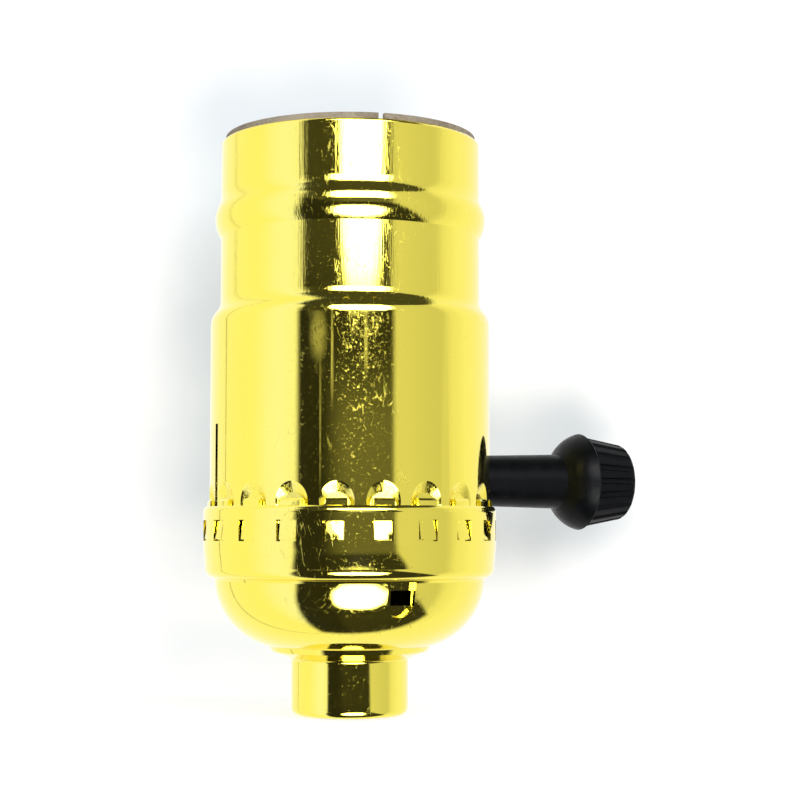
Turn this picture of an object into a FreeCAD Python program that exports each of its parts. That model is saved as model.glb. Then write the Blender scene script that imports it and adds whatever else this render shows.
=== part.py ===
import FreeCAD, Part
import math
import os
import re
import Sketcher
from FreeCAD import Placement, Rotation, Vector

# Lamp holder for a screw-base lamp: a drawn sheet-brass cap and shell round an insulated interior
# with a turn-knob switch. Millimetres. The origin is the centre of the neck's mouth, +Z runs up the
# holder's axis to the lamp, and the knob's axis runs along +X.

# ---------------------------------------------------------------------------------------- sizes
SIZES = {
    # cap: neck, cone, ring, bowl and collar, from the mouth upwards
    "neck_radius": 6.95,
    "neck_length": 6.7,
    "neck_round": 0.8,
    "neck_lip": 1.2,
    "neck_fillet": 0.3,
    "cap_sheet": 0.3,
    "cone_rise": 0.8,
    "cone_run": 2.35,
    "ring_step": 0.6,
    "bowl_height": 9.15,
    "bowl_crest": 0.6,
    "cap_step": 1.35,
    "collar_height": 8.7,
    "collar_draft": 0.22,
    "collar_round": 1.15,
    "rim_round": 0.75,
    "window_count": 20,
    "window_width": 2.45,
    "window_height": 2.4,
    "window_drop": 1.6,
    "window_phase": 9.7,
    "lance_width": 3.3,
    "lance_height": 3.95,
    "lance_depth": 0.95,
    "lance_lean": 0.75,
    "lance_turn": 1.0,
    "lance_slot_width": 2.5,
    "lance_slot_height": 1.7,
    "lance_slot_drop": 0.9,
    "lance_slot_shift": 0.3,
    # threaded bushing that the cap's neck closes over
    "bushing_bore": 4.75,
    "bushing_rise": 0.8,
    "bushing_flange_step": 0.9,
    "bushing_flange_height": 1.0,
    "bushing_chamfer": 0.25,
    "bushing_gap": 0.05,
    # fibre liner in the bowl
    "liner_sheet": 0.5,
    "liner_gap": 0.1,
    "liner_hole_gap": 0.3,
    "liner_notch_gap": 0.45,
    # outer shell, from its lower edge upwards
    "shoulder_step": 1.15,
    "shell_sheet": 0.4,
    "shell_height": 51.0,
    "shell_seat": 1.5,
    "top_height": 19.2,
    "shoulder_height": 2.9,
    "bead_drop": 9.3,
    "bead_rise": 0.7,
    "bead_below": 2.3,
    "bead_above": 2.8,
    "shell_rim_round": 0.35,
    "dimple_width": 3.0,
    "dimple_height": 3.4,
    "dimple_above": 1.6,
    "dimple_depth": 0.35,
    "dimple_tilt": 7.0,
    "dimple_flank": 60.0,
    "tooth_turn": 0.9,
    "tooth_width": 2.4,
    "tooth_above": 0.8,
    "tooth_rise": 0.3,
    "tooth_gap": 0.12,
    "tooth_bevel": 0.25,
    "catch_width": 1.6,
    "catch_rise": 0.5,
    "catch_gap": 0.12,
    "slit_turn": 1.6,
    "slit_width": 0.85,
    "slit_height": 16.8,
    "notch_gap": 0.95,
    # insulating sleeve
    "sleeve_wall": 0.8,
    "sleeve_gap": 0.1,
    "sleeve_clearance": 0.63,
    "sleeve_above": 0.7,
    "sleeve_seam": 0.7,
    "sleeve_seam_turn": -7.0,
    "sleeve_notch_gap": 0.5,
    # moulded interior
    "body_gap": 0.3,
    "upper_height": 6.0,
    "well_radius": 7.5,
    "well_depth": 2.5,
    "switch_headroom": 1.67,
    "switch_footroom": 0.62,
    "cavity_end_gap": 0.8,
    "cavity_side_gap": 0.45,
    "flat_depth": 4.45,
    "flat_half_width": 5.0,
    "wiring_radius": 7.5,
    "wiring_depth": 2.5,
    "wiring_slot": 7.0,
    "mould_chamfer": 0.5,
    # rolled lamp thread: 7 turns to the inch
    "thread_radius": 12.9,
    "thread_wave": 0.42,
    "thread_pitch": 3.629,
    "thread_fade": 2.5,
    "screw_sheet": 0.35,
    "screw_drop": 1.8,
    "screw_hole": 8.6,
    # rivets
    "rivet_turn": 50.0,
    "rivet_radius": 1.2,
    "rivet_head": 2.0,
    "rivet_head_height": 0.8,
    "rivet_sink": 1.0,
    "rivet_gap": 0.05,
    "centre_rivet_offset": 4.4,
    "centre_rivet_radius": 0.95,
    "centre_rivet_head": 1.6,
    "centre_rivet_head_height": 0.5,
    # contact strips and terminals
    "strip_sheet": 0.6,
    "strip_gap": 0.05,
    "strip_bend": 0.2,
    "plate_half_width": 4.0,
    "plate_foot": 2.5,
    "plate_height": 7.5,
    "blade_width": 2.4,
    "blade_low": 2.8,
    "contact_gap": 0.2,
    "ear_edge": 0.5,
    "ear_reach": 9.0,
    "leaf_sheet": 0.4,
    "leaf_half_width": 2.5,
    "leaf_crown": 4.4,
    # binding screws
    "screw_height": 5.5,
    "screw_radius": 1.7,
    "screw_length": 5.0,
    "screw_head": 3.6,
    "screw_head_height": 1.8,
    "screw_slot_width": 0.9,
    "screw_slot_depth": 0.8,
    "screw_gap": 0.05,
    # switch on the spindle
    "shank_gap": 0.25,
    "spindle_radius": 1.9,
    "collar_step": 0.4,
    "square_step": 0.05,
    "spindle_tail": 1.3,
    "spindle_thread": 1.42,
    "spindle_gap": 0.05,
    "spindle_blind": 2.4,
    "collar_width": 1.2,
    "cam_side": 7.7,
    "cam_round": 1.0,
    "cam_length": 5.6,
    "drum_radius": 3.6,
    "drum_length": 3.95,
    "cam_end": 6.2,
    "arm_stand": 0.7,
    "arm_width": 2.4,
    "hub_radius": 3.0,
    "arm_sheet": 0.6,
    "retainer_radius": 2.6,
    "retainer_width": 0.55,
    "spring_sheet": 0.3,
    "spring_width": 4.8,
    "spring_gap": 0.1,
    "spring_foot_gap": 0.05,
    "spring_flare": 1.0,
    "bearing_wall": 0.85,
    "bearing_flange_step": 0.6,
    "bearing_flange_width": 0.8,
    # knob, from its inner end outwards
    "knob_gap": 0.6,
    "shank_radius": 3.05,
    "shank_growth": 0.35,
    "shank_length": 13.0,
    "head_back": 3.1,
    "head_radius": 6.05,
    "crown_length": 5.9,
    "crown_radius": 5.7,
    "crown_draft": 0.9,
    "crown_round": 0.7,
    "rib_count": 20,
    "rib_groove": 0.42,
    "knob_bore_end": 4.2,
}

# ------------------------------------------------------------- levels and radii that pieces share
# radii are stacked outwards from the lamp thread: screw shell, sleeve, shell, teeth, cap
THREAD_CREST = "(thread_radius + thread_wave + screw_sheet)"
SLEEVE_IN = f"({THREAD_CREST} + sleeve_clearance)"
SLEEVE_OUT = f"({SLEEVE_IN} + sleeve_wall)"
TOP_RADIUS = f"({SLEEVE_OUT} + sleeve_gap + shell_sheet)"
SHELL_RADIUS = f"({TOP_RADIUS} + shoulder_step)"
TOOTH_FACE = f"({SHELL_RADIUS} + tooth_rise)"
CAP_RADIUS = f"({TOOTH_FACE} + tooth_gap + cap_sheet)"
BODY_RADIUS = f"({SLEEVE_IN} - body_gap)"

BOWL_RADIUS = f"({CAP_RADIUS} - cap_step)"
RING_RADIUS = "(neck_radius + cone_run)"
RING_LOW = "(neck_length + cone_rise)"
RING_TOP = f"({RING_LOW} + ring_step)"
RING_OUT = f"({RING_RADIUS} + 0.7 * ring_step)"
BOWL_TOP = "(neck_length + bowl_height)"
CAP_TOP = f"({BOWL_TOP} + collar_height)"
WINDOW_TOP = f"({CAP_TOP} - window_drop)"
WINDOW_LOW = f"({WINDOW_TOP} - window_height)"
# the bowl is one arc that would stand upright a little above the bowl's top
BOWL_RUN = f"({BOWL_RADIUS} - {RING_OUT})"
BOWL_CREST = f"({BOWL_TOP} + bowl_crest)"
BOWL_DROP = f"({BOWL_CREST} - {RING_TOP})"
BOWL_ARC = f"(({BOWL_RUN}^2 + {BOWL_DROP}^2) / (2 * {BOWL_RUN}))"
BOWL_EDGE = f"({BOWL_RADIUS} - {BOWL_ARC} + sqrt({BOWL_ARC}^2 - bowl_crest^2))"
LANCE_TOP = f"({BOWL_TOP} + 0.1)"
LANCE_FLOOR = f"({BOWL_RADIUS} - lance_depth)"
LINER_OUT = "(cap_sheet + liner_gap)"
LINER_IN = f"({LINER_OUT} + liner_sheet)"
BUSHING_WALL = "(neck_radius - cap_sheet - bushing_gap)"
BUSHING_TOP = f"({RING_LOW} + bushing_rise)"
BUSHING_FLANGE = f"({BUSHING_WALL} + bushing_flange_step)"

SHELL_LOW = f"({BOWL_TOP} + shell_seat)"
SHELL_TOP = f"({SHELL_LOW} + shell_height)"
SHOULDER_TOP = f"({SHELL_TOP} - top_height)"
SHOULDER_LOW = f"({SHOULDER_TOP} - shoulder_height)"
SHOULDER_ARC = "((shoulder_step^2 + shoulder_height^2) / (4 * shoulder_step))"
BEAD = f"({SHELL_TOP} - bead_drop)"
BEAD_LOW_ARC = "((bead_rise^2 + bead_below^2) / (2 * bead_rise))"
BEAD_TOP_ARC = "((bead_rise^2 + bead_above^2) / (4 * bead_rise))"
SLEEVE_LOW = f"({BOWL_TOP} + 0.7)"

# a dimple's floor is flat, as wide as its punch, and its flanks flare out to the shell's face
DIMPLE_MIDDLE = f"({CAP_TOP} + dimple_above - dimple_height / 2)"
PUNCH_LENGTH = "(dimple_depth + 0.8)"
PUNCH_SPREAD = f"({PUNCH_LENGTH} * tan(dimple_flank * 1 deg))"
TOOTH_PLACE = "(window_phase + tooth_turn)"

# the switch sits as high as lets the knob's shank clear the cap's rim
KNOB_AXIS = f"({CAP_TOP} + shank_radius + shank_gap)"
SHANK_NOTCH = "(2 * (shank_radius + notch_gap))"
CAM_REACH = "((cam_side / 2 - cam_round) * sqrt(2) + cam_round)"
CAM_START = "(cam_end - cam_length)"
DRUM_START = f"({CAM_START} - drum_length)"
ARM_START = f"({DRUM_START} - arm_sheet)"
ARM_REACH = "(cam_side / 2 + arm_stand)"
SPINDLE_SQUARE = "(2 * (spindle_tail + square_step))"
BEARING_RADIUS = "(spindle_radius + spindle_gap + bearing_wall)"
BEARING_FLANGE = f"({BEARING_RADIUS} + bearing_flange_step)"
KNOB_START = f"({BODY_RADIUS} + knob_gap)"
SHANK_END = f"({KNOB_START} + shank_length)"
RIDGE = f"({SHANK_END} + head_back)"
KNOB_END = f"({RIDGE} + crown_length)"

# the moulded block stands on nothing: its foot keeps clear of the liner where the bowl narrows
BODY_SPLIT = f"({KNOB_AXIS} + {CAM_REACH} + switch_headroom)"
BODY_TOP = f"({BODY_SPLIT} + upper_height)"
FOOT_REACH = f"({BODY_RADIUS} + body_gap - {BOWL_RADIUS} + {BOWL_ARC})"
BODY_LOW = f"({BOWL_CREST} - sqrt(({BOWL_ARC} - {LINER_IN})^2 - {FOOT_REACH}^2))"
WELL_FLOOR = f"({BODY_TOP} - well_depth)"
CAVITY_FLOOR = f"({KNOB_AXIS} - {CAM_REACH} - spring_sheet - spring_foot_gap - switch_footroom)"
CAVITY_LENGTH = "(cam_end + collar_width + cavity_end_gap)"
BLADE_OFFSET = f"({ARM_REACH} + contact_gap)"
CAVITY_WIDTH = f"({BLADE_OFFSET} + strip_sheet + cavity_side_gap)"
SCREW_TOP = f"({SHELL_TOP} - screw_drop)"
SCREW_AXIS = f"({BODY_LOW} + screw_height)"
FLAT = f"({BODY_RADIUS} - flat_depth)"
PLATE_IN = f"({FLAT} + strip_gap)"
PLATE_OUT = f"({PLATE_IN} + strip_sheet)"
STRIP_LEVEL = f"({BODY_SPLIT} - strip_sheet)"
BLADE_NEAR = f"(-{ARM_START} - arm_sheet / 2 - blade_width / 2)"
BLADE_FAR = f"({BLADE_NEAR} + blade_width)"
RIVET_CIRCLE = "((screw_hole + thread_radius - thread_wave) / 2)"
RIVET_X = f"({RIVET_CIRCLE} * cos(rivet_turn * 1 deg))"
RIVET_Y = f"({RIVET_CIRCLE} * sin(rivet_turn * 1 deg))"
EAR_IN = f"({RIVET_Y} - rivet_radius - rivet_gap - ear_edge)"

doc = FreeCAD.newDocument("lamp_holder")
sheet = doc.addObject("Spreadsheet::Sheet", "dims")
for row, (alias, number) in enumerate(SIZES.items(), start=1):
    sheet.set(f"A{row}", alias)
    sheet.set(f"B{row}", str(number))
    sheet.setAlias(f"B{row}", alias)
reader = doc.addObject("App::FeaturePython", "reader")
doc.recompute()

nodes = []


# -------------------------------------------------------------------------------------- helpers
def cells(formula):
    """The formula with each size's name turned into its cell on the sheet."""
    return re.sub(r"\b[a-z]\w+\b(?!\()", lambda name: known(name.group()), str(formula))


def known(name):
    return f"dims.{name}" if name in SIZES else name


def bind(item, attribute, formula):
    item.setExpression(attribute, cells(formula))


def value(formula):
    """The formula's number at the sheet's present sizes."""
    return float(reader.evalExpression(cells(formula)))


def node(item, name):
    """Names a finished piece and keeps it for the export."""
    item.Label = name
    nodes.append(item)
    return item


def new_body(name):
    body = doc.addObject("PartDesign::Body", f"body_{name}")
    body.AllowCompound = True
    return body


def origin_part(body, role):
    return next(part for part in body.Origin.OriginFeatures if part.Role == role)


def new_sketch(body, plane, shift="0", turn=None):
    """A sketch on one of the body's origin planes, moved along the plane's normal, or turned about Z."""
    sketch = body.newObject("Sketcher::SketchObject", "sketch")
    sketch.AttachmentSupport = [(origin_part(body, plane), "")]
    sketch.MapMode = "FlatFace"
    if turn:
        sketch.AttachmentOffset = Placement(Vector(), Rotation(Vector(0, 1, 0), 1))
        bind(sketch, "AttachmentOffset.Rotation.Angle", turn)
    if turn and shift != "0":
        bind(sketch, "AttachmentOffset.Base.x", f"({shift}) * sin({turn} * 1 deg)")
        bind(sketch, "AttachmentOffset.Base.z", f"({shift}) * cos({turn} * 1 deg)")
    elif shift != "0":
        bind(sketch, "AttachmentOffset.Base.z", shift)
    return sketch


def measure(sketch, kind, side, end, formula):
    """Fixes one coordinate of a point, or a radius, by a formula."""
    number = value(formula)
    if kind == "Radius":
        constraint = Sketcher.Constraint(kind, side, number)
    else:
        constraint = Sketcher.Constraint(kind, -1, 1, side, end, number)
    index = sketch.addConstraint(constraint)
    bind(sketch, f"Constraints[{index}]", formula)


def arc_between(start, end, radius, bulge):
    """The smaller arc of a circle from start to end, and whether it runs anticlockwise."""
    chord = end - start
    left = Vector(-chord.y, chord.x, 0).normalize()
    away = math.sqrt(max(radius**2 - chord.Length**2 / 4, 0))
    inward = -1 if bulge == "left" else 1
    centre = (start + end) / 2 + left * away * inward
    first, last = (end, start) if bulge == "left" else (start, end)
    angles = [math.atan2(p.y - centre.y, p.x - centre.x) for p in (first, last)]
    if angles[1] < angles[0]:
        angles[1] += 2 * math.pi
    circle = Part.Circle(centre, Vector(0, 0, 1), radius)
    return Part.ArcOfCircle(circle, *angles), bulge == "right"


def outline(sketch, corners):
    """A closed outline. A corner is (x, y), or (x, y, radius, bulge) where an arc follows it."""
    points = [Vector(value(corner[0]), value(corner[1]), 0) for corner in corners]
    first, ends = None, []
    for corner, start, end in zip(corners, points, points[1:] + points[:1]):
        if len(corner) == 4:
            side, forward = arc_between(start, end, value(corner[2]), corner[3])
        else:
            side, forward = Part.LineSegment(start, end), True
        index = sketch.addGeometry(side)
        first = index if first is None else first
        ends.append((1, 2) if forward else (2, 1))
    count = len(corners)
    for i, corner in enumerate(corners):
        following = (i + 1) % count
        joint = Sketcher.Constraint(
            "Coincident", first + i, ends[i][1], first + following, ends[following][0]
        )
        sketch.addConstraint(joint)
        measure(sketch, "DistanceX", first + i, ends[i][0], corner[0])
        measure(sketch, "DistanceY", first + i, ends[i][0], corner[1])
        if len(corner) == 4:
            measure(sketch, "Radius", first + i, 0, corner[2])
    return sketch


def rectangle(sketch, low_x, low_y, high_x, high_y):
    corners = [(low_x, low_y), (high_x, low_y), (high_x, high_y), (low_x, high_y)]
    return outline(sketch, corners)


def circle(sketch, radius, x="0", y="0"):
    round_edge = Part.Circle(Vector(value(x), value(y), 0), Vector(0, 0, 1), value(radius))
    index = sketch.addGeometry(round_edge)
    measure(sketch, "DistanceX", index, 3, x)
    measure(sketch, "DistanceY", index, 3, y)
    measure(sketch, "Radius", index, 0, radius)
    return sketch


def tongue(sketch, width, low, high, up=False):
    """A slot's outline about the sketch's Y axis, with one half-round end at the bottom or the top."""
    half = f"({width}) / 2"
    if up:
        corners = [
            (f"-{half}", low),
            (half, low),
            (half, high, half, "right"),
            ("0", f"{high} + {half}", half, "right"),
            (f"-{half}", high),
        ]
    else:
        corners = [
            (f"-{half}", high),
            (f"-{half}", f"{low} + {half}", half, "right"),
            ("0", low, half, "right"),
            (half, f"{low} + {half}"),
            (half, high),
        ]
    return outline(sketch, corners)


def revolve(body, sketch, axis="V_Axis", angle=None, cut=False):
    """A full turn, or a slice of the given angle to both sides of the sketch."""
    kind = "PartDesign::Groove" if cut else "PartDesign::Revolution"
    turned = body.newObject(kind, "groove" if cut else "revolution")
    turned.Profile = sketch
    turned.ReferenceAxis = (sketch, [axis])
    turned.Angle = 360
    if angle:
        turned.Midplane = True
        bind(turned, "Angle", angle)
    return turned


def pad(body, sketch, length, both=False, reverse=False):
    grown = body.newObject("PartDesign::Pad", "pad")
    grown.Profile = sketch
    grown.Reversed = reverse
    if both:
        grown.SideType = "Symmetric"
    bind(grown, "Length", length)
    return grown


def pocket(body, sketch, length=None, reverse=False, both=False):
    """A cut against the sketch's normal, or along it where reversed; it must take material away."""
    doc.recompute()
    before = body.Shape.Volume
    cut = body.newObject("PartDesign::Pocket", "pocket")
    cut.Profile = sketch
    cut.Reversed = reverse
    if both:
        cut.SideType = "Symmetric"
    if length:
        bind(cut, "Length", length)
    else:
        cut.Type = "ThroughAll"
    doc.recompute()
    if not body.Shape.Volume < before - 1e-6:
        raise ValueError(f"a pocket of {body.Name} cuts nothing")
    return cut


def polar(body, features, count):
    """Repeats features evenly round the body's Z axis."""
    return repeat(body, features, count, "Z_Axis")


def repeat(body, features, count, axis):
    pattern = body.newObject("PartDesign::PolarPattern", "pattern")
    pattern.Originals = features
    pattern.Axis = (origin_part(body, axis), [""])
    pattern.Angle = 360
    bind(pattern, "Occurrences", count)
    body.Tip = pattern
    return pattern


def chamfer(body, size, chosen):
    """Chamfers the edges of the body that the test picks."""
    doc.recompute()
    names = [f"Edge{i}" for i, edge in enumerate(body.Shape.Edges, start=1) if chosen(edge)]
    last = body.Tip
    bevel = body.newObject("PartDesign::Chamfer", "chamfer")
    bevel.Base = (last, names)
    bind(bevel, "Size", size)
    return bevel


def ring_edge(radius, height):
    """A test for the round edges about Z of one radius at one height."""
    wanted, level = value(radius), value(height)

    def chosen(edge):
        curve = edge.Curve
        if not isinstance(curve, Part.Circle) or abs(curve.Radius - wanted) > 1e-4:
            return False
        box = edge.BoundBox
        return abs(box.ZMin - level) < 1e-4 and abs(box.ZMax - level) < 1e-4

    return chosen


def boolean(kind, name, base, tool):
    result = doc.addObject(f"Part::{kind}", name)
    result.Base = base
    result.Tool = tool
    return result


# ------------------------------------------------------------------------------------------ cap
def cap_side(inset):
    """The cap's drawn profile from the neck's rolled end up to the rim, moved inwards by inset."""
    return [
        ("neck_radius - neck_round", inset, f"neck_round - {inset}", "right"),
        (f"neck_radius - {inset}", "neck_round"),
        (f"neck_radius - {inset}", f"neck_length - neck_fillet + {inset}",
         "neck_fillet", "left"),
        (f"neck_radius - {inset} + neck_fillet", f"neck_length + {inset}"),
        (f"{RING_RADIUS} - 0.3 * {inset}", f"{RING_LOW} + {inset}"),
        (f"{RING_OUT} - 0.4 * {inset}", f"{RING_TOP} + {inset}", f"{BOWL_ARC} - {inset}", "right"),
        (f"{BOWL_EDGE} - {inset}", BOWL_TOP),
        (f"{BOWL_EDGE} - {inset} + 0.2", f"{BOWL_TOP} + 0.3 + 0.4 * {inset}",
         f"collar_round - {inset}", "right"),
        (f"{CAP_RADIUS} - collar_draft - {inset}", f"{BOWL_TOP} + 1.6"),
        (f"{CAP_RADIUS} - {inset}", f"{WINDOW_LOW} - 0.8"),
    ]


def cap_blank():
    """The cap's outer form, filled to the axis."""
    body = new_body("cap_blank")
    rim = [
        (CAP_RADIUS, f"{CAP_TOP} - rim_round", "rim_round", "right"),
        (f"{CAP_RADIUS} - 0.3", CAP_TOP),
        ("0", CAP_TOP),
    ]
    corners = [("0", "0")] + cap_side("0") + rim
    revolve(body, outline(new_sketch(body, "XZ_Plane"), corners))
    return body


def cap_cavity():
    """What the drawn sheet encloses."""
    body = new_body("cap_cavity")
    inset = "cap_sheet"
    corners = (
        [("0", "-1"), ("neck_radius - neck_lip", "-1"), ("neck_radius - neck_lip", inset)]
        + cap_side(inset)
        + [
            (f"{CAP_RADIUS} - {inset}", f"{CAP_TOP} + 1"),
            ("0", f"{CAP_TOP} + 1"),
        ]
    )
    revolve(body, outline(new_sketch(body, "XZ_Plane"), corners))
    return body


def lance_form(name, margin):
    """The lanced pocket's form, grown by a margin: a tongue whose floor leans inwards downwards."""
    body = new_body(name)
    back = f"({LANCE_FLOOR} - lance_lean - {margin})"
    low, high = f"({LANCE_TOP} - lance_height - {margin})", f"({LANCE_TOP} + {margin})"
    face = new_sketch(body, "XZ_Plane", back, "lance_turn")
    tongue(face, f"lance_width + 2 * {margin}", low, high)
    pad(body, face, "lance_lean + lance_depth + 3")
    behind = new_sketch(body, "YZ_Plane", turn="lance_turn")
    floor = f"({LANCE_FLOOR} - {margin})"
    corners = [
        (f"-{back}", low),
        (f"-{floor}", high),
        (f"-{floor}", f"{high} + 1"),
        (f"1 - {back}", f"{high} + 1"),
        (f"1 - {back}", low),
    ]
    outline(behind, corners)
    pocket(body, behind, "3 * lance_width", both=True)
    return body


def cap_openings():
    """The ring of square windows, and the slot in the floor of the lanced pocket."""
    body = new_body("cap_openings")
    window = new_sketch(body, "YZ_Plane", f"{SHELL_RADIUS} - 1", "window_phase")
    rectangle(window, "-window_width / 2", WINDOW_LOW, "window_width / 2", WINDOW_TOP)
    polar(body, [pad(body, window, "3")], "window_count")
    slot = new_sketch(body, "XZ_Plane", f"{LANCE_FLOOR} - 2", "lance_turn")
    slot_top = f"{LANCE_TOP} - lance_slot_drop"
    left = "lance_slot_shift - lance_slot_width / 2"
    right = "lance_slot_shift + lance_slot_width / 2"
    rectangle(slot, left, f"{slot_top} - lance_slot_height", right, slot_top)
    pad(body, slot, "3")
    return body


def make_cap():
    """Drawn cap with its windows, and the pocket lanced in beside the neutral screw."""
    inside = boolean("Cut", "cap_inside", cap_cavity(), lance_form("lance_wall", "cap_sheet"))
    drawn = boolean("Cut", "cap_drawn", cap_blank(), inside)
    lanced = boolean("Cut", "cap_lanced", drawn, lance_form("lance_recess", "0"))
    return node(boolean("Cut", "cap_pierced", lanced, cap_openings()), "cap")


def make_neck_bushing():
    """Threaded bushing for the lamp nipple; its nose shows in the neck's rolled end."""
    body = new_body("neck_bushing")
    nose = "neck_radius - neck_lip - bushing_gap"
    wall, flange = BUSHING_WALL, BUSHING_FLANGE
    corners = [
        ("bushing_bore + bushing_chamfer", "0"),
        (nose, "0"),
        (nose, "cap_sheet"),
        (f"{wall} - neck_round + cap_sheet", "cap_sheet"),
        (wall, "neck_round"),
        (wall, f"{BUSHING_TOP} - bushing_flange_height"),
        (flange, f"{BUSHING_TOP} - bushing_flange_height"),
        (flange, BUSHING_TOP),
        ("bushing_bore", BUSHING_TOP),
        ("bushing_bore", "bushing_chamfer"),
    ]
    revolve(body, outline(new_sketch(body, "XZ_Plane"), corners))
    return node(body, "neck_bushing")


def make_cap_liner():
    """Pressed fibre dish that keeps the wires off the bowl."""
    body = new_body("cap_liner")
    out, within, hole = LINER_OUT, LINER_IN, f"{BUSHING_FLANGE} + liner_hole_gap"
    corners = [
        (hole, f"{RING_TOP} + {out}"),
        (f"{RING_OUT} - 0.4 * {out}", f"{RING_TOP} + {out}", f"{BOWL_ARC} - {out}", "right"),
        (f"{BOWL_EDGE} - {out}", BOWL_TOP),
        (f"{BOWL_EDGE} - {out}", f"{BOWL_TOP} + 0.3"),
        (f"{BOWL_EDGE} - {within}", f"{BOWL_TOP} + 0.3"),
        (f"{BOWL_EDGE} - {within}", BOWL_TOP, f"{BOWL_ARC} - {within}", "left"),
        (f"{RING_OUT} - 0.4 * {within}", f"{RING_TOP} + {within}"),
        (hole, f"{RING_TOP} + {within}"),
    ]
    revolve(body, outline(new_sketch(body, "XZ_Plane"), corners))
    notch = new_sketch(body, "XZ_Plane", turn="lance_turn")
    low = f"{LANCE_TOP} - lance_height - 2 * cap_sheet"
    half = "(lance_width / 2 + cap_sheet + liner_notch_gap)"
    rectangle(notch, f"-{half}", low, half, f"{BOWL_TOP} + 1")
    pocket(body, notch, reverse=True)
    return node(body, "cap_liner")


# ---------------------------------------------------------------------------------------- shell
def shell_side(inset):
    """The shell's profile from its lower edge to below its rim: body, shoulder, top and bead."""
    body, top = f"{SHELL_RADIUS} - {inset}", f"{TOP_RADIUS} - {inset}"
    return [
        (body, SHOULDER_LOW, SHOULDER_ARC, "right"),
        (f"{top} + shoulder_step / 2", f"{SHOULDER_LOW} + shoulder_height / 2", SHOULDER_ARC, "left"),
        (top, SHOULDER_TOP),
        (top, f"{BEAD} - bead_below", BEAD_LOW_ARC, "right"),
        (f"{top} + bead_rise", BEAD, BEAD_TOP_ARC, "right"),
        (f"{top} + bead_rise / 2", f"{BEAD} + bead_above / 2", BEAD_TOP_ARC, "left"),
        (top, f"{BEAD} + bead_above"),
    ]


def make_outer_shell():
    """Drawn shell: bead and shoulder above; dimples and stamped teeth that lock in the cap below."""
    body = new_body("outer_shell")
    polar(body, [dimple_back(body)], "window_count")
    mid_wall = f"{SHELL_RADIUS} - shell_sheet / 2"
    proud = new_sketch(body, "XZ_Plane")
    rectangle(proud, mid_wall, SHELL_LOW, f"{SHELL_RADIUS} + 3", SHOULDER_LOW)
    revolve(body, proud, cut=True)
    inset = "shell_sheet"
    rim = [
        (TOP_RADIUS, f"{SHELL_TOP} - shell_rim_round", "shell_rim_round", "right"),
        (f"{TOP_RADIUS} - shell_rim_round", SHELL_TOP),
        (f"{TOP_RADIUS} - {inset}", SHELL_TOP),
    ]
    outer = [(SHELL_RADIUS, SHELL_LOW)] + shell_side("0")
    inner = backwards([(f"{SHELL_RADIUS} - {inset}", SHELL_LOW)] + shell_side(inset))
    revolve(body, outline(new_sketch(body, "XZ_Plane"), outer + rim + inner))
    polar(body, [shell_dimple(body)], "window_count")
    polar(body, [shell_tooth(body), shell_catch(body)], "window_count")
    slit = new_sketch(body, "YZ_Plane", turn="slit_turn")
    low = f"{SHELL_LOW} - 1"
    rectangle(slit, "-slit_width / 2", low, "slit_width / 2", f"{SHELL_LOW} + slit_height")
    pocket(body, slit)
    notch = new_sketch(body, "YZ_Plane")
    tongue(notch, SHANK_NOTCH, low, KNOB_AXIS, up=True)
    pocket(body, notch, reverse=True)
    return node(body, "outer_shell")


def backwards(corners):
    """The same run of corners walked the other way."""
    flipped = {"left": "right", "right": "left"}
    result = []
    for corner, before in zip(corners[::-1], corners[-2::-1] + [()]):
        arc = (before[2], flipped[before[3]]) if len(before) == 4 else ()
        result.append(corner[:2] + arc)
    return result


def punch_outline(body, reach):
    """The punch's round-topped outline, square to its tilted axis, at a distance from the holder's axis."""
    sketch = new_sketch(body, "YZ_Plane")
    out, turn = value(reach), value(TOOTH_PLACE)
    lean = Rotation(Vector(0, 1, 0), turn) * Rotation(Vector(1, 0, 0), -value("dimple_tilt"))
    angle = math.radians(turn)
    base = Vector(out * math.sin(angle), value(DIMPLE_MIDDLE), out * math.cos(angle))
    sketch.AttachmentOffset = Placement(base, lean)
    half = f"(dimple_width / 2 + {PUNCH_SPREAD})"
    low = f"(-dimple_height / 2 - {PUNCH_SPREAD})"
    return tongue(sketch, f"(2 * {half})", low, "(dimple_height / 2 - dimple_width / 2)", up=True)


def dimple_back(body):
    """The bulge that a dimple leaves on the inside of the shell."""
    back = punch_outline(body, f"{SHELL_RADIUS} - dimple_depth - shell_sheet + {PUNCH_LENGTH}")
    bulge = pad(body, back, PUNCH_LENGTH, reverse=True)
    bind(bulge, "TaperAngle", "-dimple_flank")
    return bulge


def shell_dimple(body):
    """One dimple pressed into the shell's face above the cap's rim."""
    face = punch_outline(body, f"{SHELL_RADIUS} - dimple_depth + {PUNCH_LENGTH}")
    dimple = pocket(body, face, PUNCH_LENGTH)
    bind(dimple, "TaperAngle", "-dimple_flank")
    return dimple


def shell_tooth(body):
    """The narrow tooth stamped under a dimple, from just above the cap's rim to below its window."""
    sketch = new_sketch(body, "XZ_Plane", turn=TOOTH_PLACE)
    top = f"{CAP_TOP} + tooth_above"
    back = f"{SHELL_RADIUS} - shell_sheet / 2"
    corners = [
        (back, f"{WINDOW_LOW} - 0.3"),
        (TOOTH_FACE, f"{WINDOW_LOW} - 0.3"),
        (TOOTH_FACE, f"{top} - tooth_bevel"),
        (f"{TOOTH_FACE} - tooth_bevel", top),
        (back, top),
    ]
    outline(sketch, corners)
    return revolve(body, sketch, angle=f"tooth_width / {SHELL_RADIUS} * 57.2958 deg")


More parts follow.
